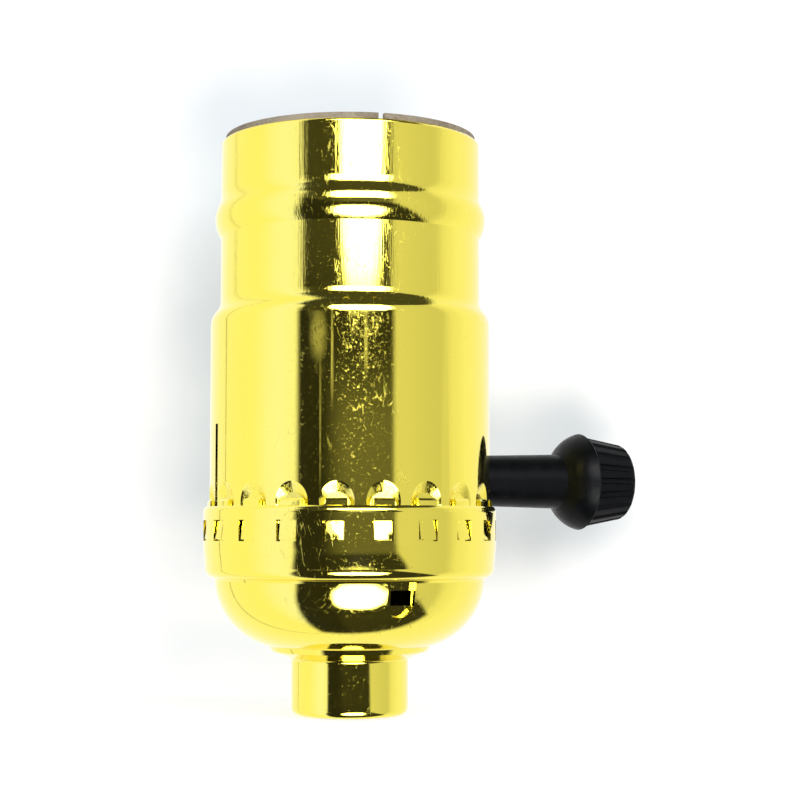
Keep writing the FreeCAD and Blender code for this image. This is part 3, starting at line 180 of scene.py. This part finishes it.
def dark_front(nodes, along, aside, up, rise):
    """1 in the dark front of the tent: a sector ahead that widens overhead and underneath."""
    below = nodes.math("MAXIMUM", nodes.math("MULTIPLY", up, -1.0), 0.0)
    above = nodes.math("MULTIPLY", nodes.math("MAXIMUM", up, 0.0), nodes.fade(rise, 38.0, 48.0))

    def edge(along_share, aside_share, below_share, above_share):
        terms = (
            nodes.math("MULTIPLY", along, along_share),
            nodes.math("MULTIPLY", aside, aside_share),
            nodes.math("MULTIPLY", below, below_share),
            nodes.math("MULTIPLY", above, above_share),
        )
        flat = nodes.math("ADD", terms[0], terms[1])
        return nodes.math("ADD", flat, nodes.math("ADD", terms[2], terms[3]))

    left = edge(0.86, 1.0, 0.30, 0.22)
    right = edge(0.75, -1.0, 1.1, 0.94)
    near = nodes.math("MAXIMUM", edge(1.0, 0.0, 0.08, 0.0), nodes.math("MULTIPLY", up, 10.0))
    nearest = nodes.math("MINIMUM", nodes.math("MINIMUM", left, right), near)
    return nodes.fade(nearest, -0.07, 0.06)


def make_world():
    """A pale tent with a dark front, two soft boxes and a few streaks, seen only in reflections."""
    world = bpy.data.worlds.new("studio")
    scene.world = world
    world.use_nodes = True
    nodes = Nodes(world.node_tree)
    direction = nodes.add("ShaderNodeTexCoord").outputs["Generated"]
    front = (math.sin(HEADING), -math.cos(HEADING), 0.0)
    right = (math.cos(HEADING), math.sin(HEADING), 0.0)
    along = nodes.vector("DOT_PRODUCT", direction, front)
    aside = nodes.vector("DOT_PRODUCT", direction, right)
    up = nodes.vector("DOT_PRODUCT", direction, (0.0, 0.0, 1.0))
    turn = nodes.math("MULTIPLY", nodes.math("ARCTAN2", aside, along), 180 / math.pi)
    rise = nodes.math("MULTIPLY", nodes.math("ARCSINE", up), 180 / math.pi)

    # the tent: dimmer on the right, a step behind, a seam at the back on the left
    right_side = nodes.fade(turn, 36.0, 84.0, 0.785, 0.70)
    right_side = nodes.math("ADD", right_side, nodes.fade(turn, 80.0, 95.0, 0.0, 0.25))
    right_side = nodes.math("ADD", right_side, nodes.fade(turn, 95.0, 112.0, 0.0, 0.09))
    seam = nodes.band(turn, -120.6, -119.0, 0.6)
    left_side = nodes.math("SUBTRACT", 1.08, nodes.math("MULTIPLY", seam, 0.55))
    tent = nodes.blend(nodes.fade(turn, -1.0, 1.0), left_side, right_side)

    # the dark front: blacker on the left, with a low glow and thin streaks
    low_glow = nodes.fade(turn, -24.0, 2.0, 0.0, 0.11)
    low_glow = nodes.math("MULTIPLY", nodes.band(rise, -2.5, 4.6, 1.6), low_glow)
    level = nodes.fade(turn, -22.0, -6.0, 0.025, 0.04)
    level = nodes.math("ADD", level, nodes.fade(rise, 7.0, 9.0, 0.0, 0.03))
    level = nodes.math("ADD", level, low_glow)
    streaks = (  # turn and its half width, rise and its half height, strength
        (-12.8, 0.9, 5.7, 1.4, 0.65),
        (-22.5, 0.7, 3.5, 2.0, 0.35),
        (-24.0, 6.0, 6.3, 0.7, 0.42),
        (14.0, 1.4, 6.1, 0.9, 0.65),
    )
    for middle, half_width, height, half_height, strength in streaks:
        place, half = (middle, height), (half_width, half_height)
        shape = inside_box(nodes, turn, rise, place, half, 2.0, 0.6)
        level = nodes.math("MAXIMUM", level, nodes.math("MULTIPLY", shape, strength))
    box_level = 9.0
    upper = inside_box(nodes, turn, rise, (11.5, 24.0), (19.5, 16.2), 5.0, 0.05)
    broad = inside_box(nodes, turn, rise, (11.5, 28.0), (28.0, 13.0), 3.5, 0.05)
    upper = nodes.math("MAXIMUM", upper, broad)
    lower = inside_box(nodes, turn, rise, (9.5, -31.0), (23.5, 17.5), 3.0, 0.14)
    boxes = nodes.math("MULTIPLY", nodes.math("MAXIMUM", upper, lower), box_level)
    level = nodes.math("ADD", level, boxes)
    seen = nodes.blend(dark_front(nodes, along, aside, up, rise), tent, level)

    path = nodes.add("ShaderNodeLightPath")
    plain = nodes.math("MAXIMUM", path.outputs["Is Camera Ray"], path.outputs["Is Transmission Ray"])
    plain_level = 0.55
    reflected = nodes.blend(path.outputs["Is Glossy Ray"], plain_level, seen)
    strength = nodes.blend(plain, reflected, 1.0)
    cool_side = nodes.band(turn, -72.0, -42.0, 16.0)
    cool_side = nodes.math("MULTIPLY", cool_side, path.outputs["Is Glossy Ray"])
    tint = nodes.mix(cool_side, colour(1, 1, 1), colour(0.99, 1.05, 1.9))
    background = nodes.add("ShaderNodeBackground", {"Color": tint, "Strength": strength})
    nodes.add("ShaderNodeOutputWorld", {"Surface": background})


def painted_shade_mask(nodes, place, across, upward, soft):
    """1 inside a soft-edged rectangle of painted shade on a sheet; its sides are in the sheet's own
    metres.
    """
    sides = nodes.add("ShaderNodeSeparateXYZ", {0: place}).outputs
    in_width = nodes.band(sides[0], *across, soft)
    in_height = nodes.band(sides[1], *upward, soft)
    return nodes.math("MULTIPLY", in_width, in_height)


def stage_plane(name, size, location, rotation, painted_shade_patches=()):
    """A pale sheet that keeps shadows, shows white to the camera, and is unseen from behind.

    A patch of painted shade is its two sides across and upward, its softness and its colour.
    """
    bpy.ops.mesh.primitive_plane_add(size=size, location=location, rotation=rotation)
    plane = bpy.context.object
    plane.name = name
    material = bpy.data.materials.new(name)
    material.use_nodes = True
    nodes = Nodes(material.node_tree)
    where = nodes.add("ShaderNodeTexCoord").outputs["Object"]
    cloudy = nodes.noise(where, 260.0, 4.0, 0.7)
    paper_and_painted_shade = nodes.mix(cloudy, colour(1, 1, 1), colour(0.985, 0.99, 1.0))
    drift = nodes.add("ShaderNodeTexNoise", {"Vector": where, "Scale": 60.0, "Detail": 2.0})
    moved = nodes.vector("SUBTRACT", drift.outputs["Color"], (0.5, 0.5, 0.5))
    moved = nodes.vector("MULTIPLY", moved, (8 * MM, 8 * MM, 0.0))
    place = nodes.vector("ADD", where, moved)
    # painted shade: each patch darkens the sheet's colour where the object's shade would fall
    for across, upward, soft, shade in painted_shade_patches:
        factor = painted_shade_mask(nodes, place, across, upward, soft)
        shaded = nodes.mix(factor, colour(1, 1, 1), colour(*shade))
        paper_and_painted_shade = nodes.vector("MULTIPLY", paper_and_painted_shade, shaded)
    lit_share, glow_share = 0.35, 0.76
    dimmed = nodes.vector("MULTIPLY", paper_and_painted_shade, (lit_share, lit_share, lit_share))
    diffuse = nodes.add("ShaderNodeBsdfDiffuse", {"Color": dimmed})
    glow = nodes.add("ShaderNodeEmission", {"Color": paper_and_painted_shade, "Strength": glow_share})
    lit = nodes.add("ShaderNodeAddShader", {0: diffuse, 1: glow})
    clear = nodes.add("ShaderNodeBsdfTransparent")
    path = nodes.add("ShaderNodeLightPath")
    behind = nodes.add("ShaderNodeNewGeometry").outputs["Backfacing"]
    shown = nodes.math("MULTIPLY", path.outputs["Is Camera Ray"], nodes.math("SUBTRACT", 1.0, behind))
    surface = nodes.add("ShaderNodeMixShader", {0: shown, 1: clear, 2: lit})
    nodes.add("ShaderNodeOutputMaterial", {"Surface": surface})
    plane.data.materials.append(material)
    plane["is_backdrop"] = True


def make_stage():
    """The floor, and a backdrop close behind with the soft grey of an object's shade painted into its
    colour.
    """
    stage_plane("floor", 3.0, (0, 0, -0.2 * MM), (0, 0, 0))
    middle_height = 300 * MM
    behind_axis = 24 * MM
    back = Vector((-math.sin(HEADING), math.cos(HEADING), 0)) * behind_axis
    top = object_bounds()[1][2] - middle_height
    knob_low, knob_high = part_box("knob")
    knob = (knob_low[2] + knob_high[2]) / 2 - middle_height
    foot = -middle_height
    # painted shade patches: round the top and left of the body, beside the knob, and low on the left by
    # the foot
    painted_shade_patches = (
        ((-25 * MM, 11 * MM), (top - 50 * MM, top + 17 * MM), 9 * MM, (0.71, 0.75, 0.78)),
        ((-22.5 * MM, -7 * MM), (top - 46 * MM, top - 13 * MM), 7 * MM, (0.92, 0.93, 0.94)),
        ((12 * MM, 34 * MM), (knob - 10.5 * MM, knob + 11.5 * MM), 5 * MM, (0.72, 0.75, 0.77)),
        ((25.5 * MM, 33.5 * MM), (knob - 8.5 * MM, knob + 9.5 * MM), 5 * MM, (0.90, 0.91, 0.92)),
        ((-27 * MM, -7 * MM), (foot + 4 * MM, foot + 9 * MM), 5 * MM, (0.90, 0.93, 0.95)),
    )
    place = back + Vector((0, 0, middle_height))
    stage_plane("backdrop", 1.2, place, (math.radians(90), 0, HEADING), painted_shade_patches)


def add_lamp(name, turn, rise, distance, size, power):
    """A square soft lamp that aims at the object's middle; turn is from the camera's side."""
    data = bpy.data.lights.new(name, "AREA")
    data.shape = "SQUARE"
    data.size = size
    data.energy = power
    lamp = bpy.data.objects.new(name, data)
    heading = HEADING + math.radians(turn)
    level = math.cos(math.radians(rise)) * distance
    above = math.sin(math.radians(rise)) * distance
    offset = Vector((math.sin(heading) * level, -math.cos(heading) * level, above))
    middle = Vector((0, 0, 35 * MM))
    lamp.location = middle + offset
    lamp.rotation_euler = (-offset).to_track_quat("-Z", "Y").to_euler()
    lamp.visible_glossy = False
    lamp.visible_camera = False
    scene.collection.objects.link(lamp)


def make_lamps():
    add_lamp("key", 35.0, 30.0, 0.8, 0.5, 5.0)
    add_lamp("fill", -40.0, 20.0, 0.9, 0.7, 3.0)


# ---------------------------------------------------------------------------------- materials
def hairlines(nodes, where, slant, stretch, scale, width):
    """Thin broken lines: the middle contour of a noise that is stretched along one slant."""
    slanted = nodes.add("ShaderNodeMapping", {"Vector": where, "Rotation": slant, "Scale": stretch})
    field = nodes.noise(slanted, scale, 0.0)
    from_middle = nodes.math("ABSOLUTE", nodes.math("SUBTRACT", field, 0.5))
    line = nodes.fade(from_middle, 0.3 * width, width, 1.0, 0.0)
    breaks = nodes.fade(nodes.noise(slanted, 2.3 * scale, 2.0), 0.50, 0.60)
    return nodes.math("MULTIPLY", line, breaks)


def polished_brass():
    """Lacquered bright brass with hairline scratches, dust specks and a faint waviness."""
    material, nodes, shader, where = new_material("polished_brass")
    tone = nodes.noise(where, 60.0, 4.0)
    shader.inputs["Metallic"].default_value = 1.0
    shader.inputs["Coat Weight"].default_value = 0.25
    shader.inputs["Coat Roughness"].default_value = 0.05
    base = nodes.mix(tone, colour(0.94, 0.80, 0.105), colour(0.965, 0.85, 0.12))
    nodes.feed(shader.inputs["Base Color"], base)
    lines = (
        hairlines(nodes, where, (0.2, 0.3, 0.0), (1.0, 1.0, 0.22), 900.0, 0.020),
        hairlines(nodes, where, (0.9, 0.2, 0.4), (1.0, 0.9, 0.25), 700.0, 0.016),
        hairlines(nodes, where, (-0.8, 0.5, 0.2), (0.9, 1.0, 0.20), 620.0, 0.015),
        hairlines(nodes, where, (1.4, 0.1, 0.7), (1.0, 1.0, 0.30), 800.0, 0.015),
    )
    scratched = lines[0]
    for line in lines[1:]:
        scratched = nodes.math("MAXIMUM", scratched, line)
    worn = nodes.fade(nodes.noise(where, 120.0, 3.0), 0.46, 0.62, 0.14, 1.0)
    specks = nodes.fade(nodes.noise(where, 3200.0, 3.0, 0.7), 0.57, 0.68)
    scratched = nodes.math("MULTIPLY", scratched, worn)
    marks = nodes.math("MAXIMUM", scratched, nodes.math("MULTIPLY", specks, 0.7))
    mark_roughness = 0.26
    haze = nodes.fade(nodes.noise(where, 900.0, 5.0, 0.75), 0.42, 0.70, 0.03, 0.085)
    rough = nodes.math("ADD", haze, nodes.math("MULTIPLY", marks, mark_roughness))

    # the pressed dimples above the collar are hazier than the wall that they sink into
    height = nodes.add("ShaderNodeSeparateXYZ", {0: where}).outputs[2]
    flat = nodes.vector("MULTIPLY", where, (1.0, 1.0, 0.0))
    radius = nodes.add("ShaderNodeVectorMath", {0: flat}, operation="LENGTH").outputs["Value"]
    collar_radius, collar_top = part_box("cap")[1][1:]
    wall_radius = collar_radius - 0.73 * MM
    sunk = nodes.fade(nodes.math("SUBTRACT", wall_radius, radius), 0.03 * MM, 0.15 * MM)
    dimple_reach = 4.8 * MM
    in_reach = nodes.band(height, collar_top + 0.2 * MM, collar_top + dimple_reach, 0.2 * MM)
    pressed = nodes.math("MULTIPLY", sunk, in_reach)
    grit = nodes.fade(nodes.noise(where, 2400.0, 3.0, 0.7), 0.35, 0.65, 0.10, 0.30)
    rough = nodes.math("ADD", rough, nodes.math("MULTIPLY", pressed, grit))
    nodes.feed(shader.inputs["Roughness"], rough)

    # the wall above the shoulder keeps the fine upright lines of its drawing
    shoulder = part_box("outer_shell")[1][2] - 21.0 * MM
    upright = nodes.add("ShaderNodeMapping", {"Vector": where, "Scale": (1.0, 1.0, 0.03)})
    brushed = nodes.fade(height, shoulder - 1.0 * MM, shoulder + 1.0 * MM, 0.12, 1.0)
    grain = nodes.math("MULTIPLY", nodes.noise(upright, 4200.0, 3.0, 0.6), brushed)
    fine = nodes.add("ShaderNodeBump", {"Strength": 1.0, "Distance": 0.012 * MM, "Height": grain})
    wave = nodes.noise(where, 45.0, 2.0)
    relief = nodes.math("SUBTRACT", wave, nodes.math("MULTIPLY", marks, 0.012))
    waves = {"Strength": 0.06, "Distance": 0.4 * MM, "Height": relief, "Normal": fine}
    bump = nodes.add("ShaderNodeBump", waves)

    # the collar's lower wall turns under gradually, with no crease where its draft begins
    crease = collar_top - 4.8 * MM
    draft_height, draft_slope = 2.3 * MM, 0.0957
    under = nodes.fade(height, crease - draft_height, crease, 0.0, draft_slope)
    below_crease = nodes.math("LESS_THAN", height, crease)
    outside = nodes.math("GREATER_THAN", radius, collar_radius - 0.26 * MM)
    on_collar = nodes.math("MULTIPLY", below_crease, outside)
    lift = nodes.add("ShaderNodeCombineXYZ", {2: nodes.math("MULTIPLY", under, on_collar)})
    eased = nodes.vector("NORMALIZE", nodes.vector("ADD", bump, lift))
    nodes.feed(shader.inputs["Normal"], eased)
    return material


def plain_metal(name, base, other, roughness):
    """A metal of two close tones with a fine even grain."""
    material, nodes, shader, where = new_material(name)
    tone = nodes.noise(where, 240.0, 4.0)
    shader.inputs["Metallic"].default_value = 1.0
    nodes.feed(shader.inputs["Base Color"], nodes.mix(tone, base, other))
    grain = nodes.noise(where, 1500.0, 3.0)
    uneven = nodes.fade(grain, 0.3, 0.7, roughness - 0.05, roughness + 0.08)
    nodes.feed(shader.inputs["Roughness"], uneven)
    bump = nodes.add("ShaderNodeBump", {"Strength": 0.1, "Distance": 0.1 * MM, "Height": grain})
    nodes.feed(shader.inputs["Normal"], bump.outputs["Normal"])
    return material


def moulding(name, dark, pale, roughness, speckle, shine):
    """A moulded plastic: dark with paler grains, and a faint pebbled skin."""
    material, nodes, shader, where = new_material(name)
    grain = nodes.noise(where, 900.0, 5.0, 0.7)
    nodes.feed(shader.inputs["Base Color"], nodes.mix(nodes.fade(grain, 0.62, 0.75), dark, pale))
    nodes.feed(shader.inputs["Roughness"], nodes.fade(grain, 0.3, 0.7, roughness, roughness + 0.15))
    shader.inputs["Specular IOR Level"].default_value = shine
    bump = nodes.add("ShaderNodeBump", {"Strength": speckle, "Distance": 0.2 * MM, "Height": grain})
    nodes.feed(shader.inputs["Normal"], bump.outputs["Normal"])
    return material


def board(name, dark, pale):
    """Pressed fibre or card: blotched, matt and fibrous."""
    material, nodes, shader, where = new_material(name)
    fibre = nodes.noise(where, 1100.0, 6.0, 0.75, 1.5)
    blotch = nodes.noise(where, 130.0, 3.0)
    both = nodes.math("MULTIPLY", nodes.math("ADD", fibre, blotch), 0.5)
    nodes.feed(shader.inputs["Base Color"], nodes.mix(nodes.fade(both, 0.35, 0.65), dark, pale))
    shader.inputs["Roughness"].default_value = 0.85
    bump = nodes.add("ShaderNodeBump", {"Strength": 0.4, "Distance": 0.2 * MM, "Height": fibre})
    nodes.feed(shader.inputs["Normal"], bump.outputs["Normal"])
    return material


def tooth_face_mesh(name, middle):
    """One tooth's face: a closed pad that leans back upwards, a little crowned across."""
    collar_radius, collar_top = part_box("cap")[1][1:]
    top = collar_top - 1.75 * MM
    half_width, tall, shift, crown = 1.02 * MM, 2.05 * MM, 0.08 * MM, 0.03 * MM
    out_below = collar_radius - 0.10 * MM
    out_above = collar_radius - 0.42 * MM
    back = collar_radius - 0.5 * MM
    steps = 8
    outward = Vector((math.cos(middle), math.sin(middle), 0))
    sideways = Vector((-math.sin(middle), math.cos(middle), 0))
    mesh = bmesh.new()
    grid = []
    for row in range(steps + 1):
        share = row / steps
        lean = 1 - (1 - share) ** 1.15
        line = []
        for column in range(steps + 1):
            across = 2 * column / steps - 1
            reach = out_above + (out_below - out_above) * lean - crown * across**2
            place = outward * reach + sideways * (across * half_width + shift)
            line.append(mesh.verts.new(place + Vector((0, 0, top - share * tall))))
        grid.append(line)
    for above, below in zip(grid, grid[1:]):
        for left in range(steps):
            mesh.faces.new((above[left], below[left], below[left + 1], above[left + 1]))
    rim = [edge for edge in mesh.edges if edge.is_boundary]
    skirt = bmesh.ops.extrude_edge_only(mesh, edges=rim)["geom"]
    for vertex in [item for item in skirt if isinstance(item, bmesh.types.BMVert)]:
        inward = Vector((vertex.co.x, vertex.co.y, 0)).normalized() * back
        vertex.co = Vector((inward.x, inward.y, vertex.co.z))
    bmesh.ops.holes_fill(mesh, edges=[edge for edge in mesh.edges if edge.is_boundary])
    bmesh.ops.recalc_face_normals(mesh, faces=mesh.faces)
    data = bpy.data.meshes.new(name)
    mesh.to_mesh(data)
    mesh.free()
    return data


def make_tooth_faces(material):
    """The pressed faces of the shell's locking teeth, leaning back in the collar's windows."""
    for window in range(WINDOWS):
        middle = FIRST_WINDOW + window * math.tau / WINDOWS
        data = tooth_face_mesh(f"tooth_face_{window + 1:02d}", middle)
        data.shade_smooth()
        data.set_sharp_from_angle(angle=math.radians(40))
        data.materials.append(material)
        tooth = bpy.data.objects.new(data.name, data)
        scene.collection.objects.link(tooth)
        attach(tooth, "holder")


def dress(material, *names):
    """Give the named CAD nodes one material."""
    for name in names:
        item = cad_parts[name]
        item.data.materials.clear()
        item.data.materials.append(material)


def make_materials():
    bright = polished_brass()
    dress(bright, "cap", "outer_shell")
    make_tooth_faces(bright)

    brass = plain_metal("plain_brass", colour(0.80, 0.62, 0.24), colour(0.88, 0.70, 0.30), 0.22)
    dress(brass, "screw_shell", "centre_contact", "contact_link", "rotor_contact")
    dress(brass, "hot_terminal", "neutral_terminal")
    turned = plain_metal("turned_brass", colour(0.82, 0.68, 0.22), colour(0.90, 0.76, 0.28), 0.25)
    dress(turned, "neck_bushing", "centre_rivet", "hot_screw", "spindle_bushing")
    steel = plain_metal("plated_steel", colour(0.58, 0.57, 0.55), colour(0.68, 0.67, 0.65), 0.3)
    dress(steel, "body_rivet_hot", "body_rivet_neutral", "switch_spindle", "rotor_retainer")
    dress(steel, "detent_spring", "neutral_screw")

    soot, grey = colour(0.012, 0.012, 0.013), colour(0.03, 0.03, 0.03)
    black = moulding("black_moulding", soot, grey, 0.38, 0.15, 0.5)
    dress(black, "socket_body_upper", "socket_body_lower", "switch_rotor")
    jet = colour(0.002, 0.0024, 0.003)
    dress(moulding("knob_moulding", jet, colour(0.006, 0.006, 0.007), 0.3, 0.12, 0.09), "knob")
    dress(board("sleeve_board", colour(0.16, 0.13, 0.09), colour(0.36, 0.31, 0.24)), "insulating_sleeve")
    dress(board("liner_fibre", colour(0.16, 0.14, 0.08), colour(0.32, 0.28, 0.16)), "cap_liner")


make_camera()
make_world()
make_stage()
make_lamps()
make_materials()
